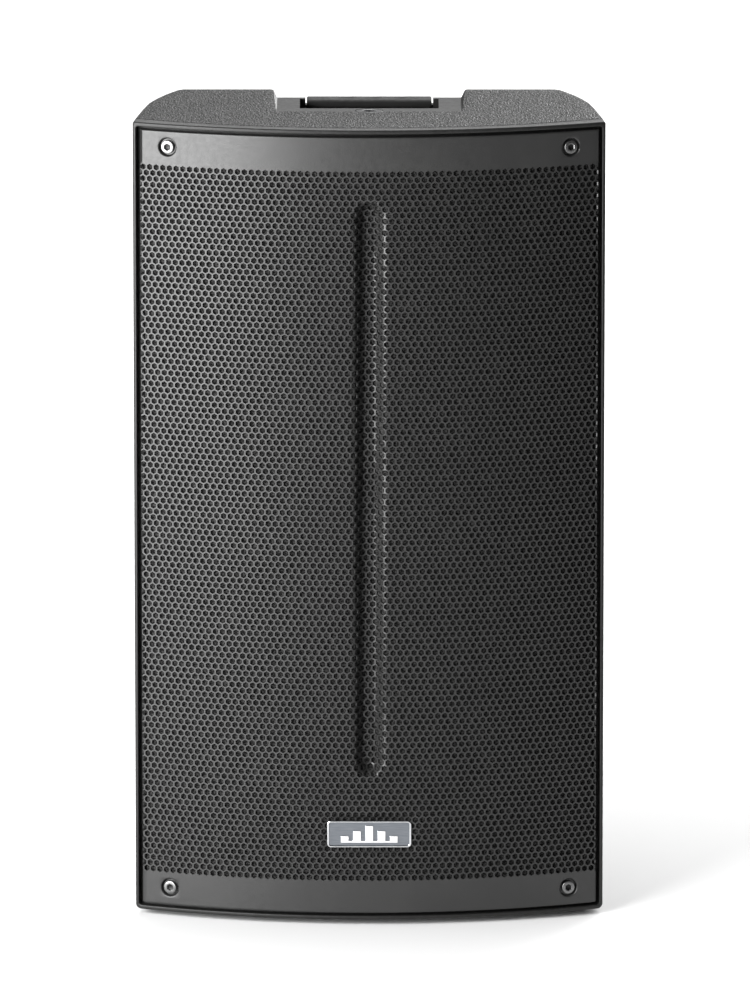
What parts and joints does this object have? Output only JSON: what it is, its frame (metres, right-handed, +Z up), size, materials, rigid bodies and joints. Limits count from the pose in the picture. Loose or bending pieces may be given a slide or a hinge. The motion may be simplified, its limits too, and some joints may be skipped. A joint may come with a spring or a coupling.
{
  "type": "pa speaker cabinet",
  "caption": "Powered two-way PA loudspeaker: moulded cabinet with bowed perforated steel grille, top hand slot and grip, pole socket and rear amplifier panel.",
  "frame": {"origin": "on the floor under the middle of the cabinet's bounding box", "axes": "+Z up, the grille faces -Y, the amplifier panel faces +Y, +X is the right side seen from the front"},
  "size_m": [0.412, 0.385, 0.718],
  "materials": {
    "moulded_plastic": "fine-grained moulded polypropylene",
    "panel_plastic": "smooth black plastic",
    "soft_plastic": "soft-touch black rubber",
    "grille_steel": "satin black powder coat",
    "foam": "open-cell black foam",
    "black_steel": "black powder coat",
    "heatsink_aluminium": "black anodised",
    "plated_steel": "zinc plated",
    "badge_metal": "satin with a bright rim",
    "emblem_metal": "bright raised bars",
    "foot_rubber": "matt rubber",
    "cone_paper": "coated paper pulp",
    "ferrite": "sintered ferrite",
    "bare_aluminium": "bare metal",
    "circuit_board": "glass-fibre board",
    "lamp_lens": "tinted lens",
    "red_plastic": "red push pieces"
  },
  "bodies": {
    "enclosure": {"front_baffle": "moulded_plastic", "rear_shell": "moulded_plastic", "handle_cup": "moulded_plastic", "horn_waveguide": "moulded_plastic", "hf_rear_cover": "moulded_plastic", "port_tube_left": "moulded_plastic", "port_tube_right": "moulded_plastic", "combo_input_1": "panel_plastic", "combo_input_2": "panel_plastic", "link_output": "panel_plastic", "power_inlet": "panel_plastic", "power_switch_frame": "panel_plastic", "top_handle_grip": "soft_plastic", "grille": "grille_steel", "grille_foam": "foam", "pole_socket": "black_steel", "amp_panel": "black_steel", "woofer_top_plate": "black_steel", "woofer_pole_plate": "black_steel", "hf_driver_body": "black_steel", "heatsink": "heatsink_aluminium", "grille_screw_1": "plated_steel", "grille_screw_2": "plated_steel", "grille_screw_3": "plated_steel", "grille_screw_4": "plated_steel", "panel_screw_1": "plated_steel", "panel_screw_2": "plated_steel", "panel_screw_3": "plated_steel", "panel_screw_4": "plated_steel", "top_rigging_insert": "plated_steel", "rear_rigging_insert": "plated_steel", "badge_plate": "badge_metal", "badge_emblem": "emblem_metal", "rubber_foot_1": "foot_rubber", "rubber_foot_2": "foot_rubber", "rubber_foot_3": "foot_rubber", "rubber_foot_4": "foot_rubber", "woofer_surround": "foot_rubber", "woofer_spider": "cone_paper", "woofer_magnet": "ferrite", "woofer_basket": "bare_aluminium", "amp_housing": "bare_aluminium", "amp_board": "circuit_board", "power_supply": "circuit_board", "power_lamp": "lamp_lens", "limit_lamp": "lamp_lens"},
    "woofer_moving": {"woofer_cone": "cone_paper", "woofer_dust_cap": "cone_paper", "woofer_voice_coil": "bare_aluminium"},
    "hf_moving": {"hf_diaphragm": "bare_aluminium"},
    "input_1_level": {"input_1_level_knob": "soft_plastic"},
    "input_2_level": {"input_2_level_knob": "soft_plastic"},
    "master_level": {"master_level_knob": "soft_plastic"},
    "preset_selector": {"preset_selector_knob": "soft_plastic"},
    "input_1_mic_push": {"input_1_mic_switch": "soft_plastic"},
    "input_2_mic_push": {"input_2_mic_switch": "soft_plastic"},
    "combo_1_latch": {"combo_input_1_latch": "red_plastic"},
    "combo_2_latch": {"combo_input_2_latch": "red_plastic"},
    "mains_rocker": {"power_rocker": "red_plastic"},
    "fuse_tray": {"fuse_drawer": "panel_plastic"}
  },
  "joints": [
    {"name": "woofer_excursion", "type": "slide", "parent": "enclosure", "child": "woofer_moving", "axis": [0, -1, 0], "range_m": [-0.007, 0.007], "stiffness_N_per_m": 4500},
    {"name": "hf_diaphragm_excursion", "type": "slide", "parent": "enclosure", "child": "hf_moving", "axis": [0, -1, 0], "range_m": [-0.0004, 0.0004], "stiffness_N_per_m": 20000},
    {"name": "input_1_level_turn", "type": "hinge", "parent": "enclosure", "child": "input_1_level", "pos_m": [0.052, 0.1813, 0.44], "axis": [0, 1, 0], "range_deg": [-150, 150]},
    {"name": "input_2_level_turn", "type": "hinge", "parent": "enclosure", "child": "input_2_level", "pos_m": [0, 0.1813, 0.44], "axis": [0, 1, 0], "range_deg": [-150, 150]},
    {"name": "master_level_turn", "type": "hinge", "parent": "enclosure", "child": "master_level", "pos_m": [-0.052, 0.1813, 0.44], "axis": [0, 1, 0], "range_deg": [-150, 150]},
    {"name": "preset_selector_turn", "type": "hinge", "parent": "enclosure", "child": "preset_selector", "pos_m": [-0.052, 0.1813, 0.408], "axis": [0, 1, 0], "continuous": true},
    {"name": "input_1_mic_press", "type": "slide", "parent": "enclosure", "child": "input_1_mic_push", "axis": [0, -1, 0], "range_m": [0, 0.0018], "stiffness_N_per_m": 700},
    {"name": "input_2_mic_press", "type": "slide", "parent": "enclosure", "child": "input_2_mic_push", "axis": [0, -1, 0], "range_m": [0, 0.0018], "stiffness_N_per_m": 700},
    {"name": "combo_1_latch_press", "type": "slide", "parent": "enclosure", "child": "combo_1_latch", "axis": [0, -1, 0], "range_m": [0, 0.0015], "stiffness_N_per_m": 900},
    {"name": "combo_2_latch_press", "type": "slide", "parent": "enclosure", "child": "combo_2_latch", "axis": [0, -1, 0], "range_m": [0, 0.0015], "stiffness_N_per_m": 900},
    {"name": "mains_rocker_tip", "type": "hinge", "parent": "enclosure", "child": "mains_rocker", "pos_m": [-0.037, 0.1813, 0.172], "axis": [-1, 0, 0], "range_deg": [0, 16]},
    {"name": "fuse_drawer_pull", "type": "slide", "parent": "enclosure", "child": "fuse_tray", "axis": [0, 1, 0], "range_m": [0, 0.0165]}
  ]
}
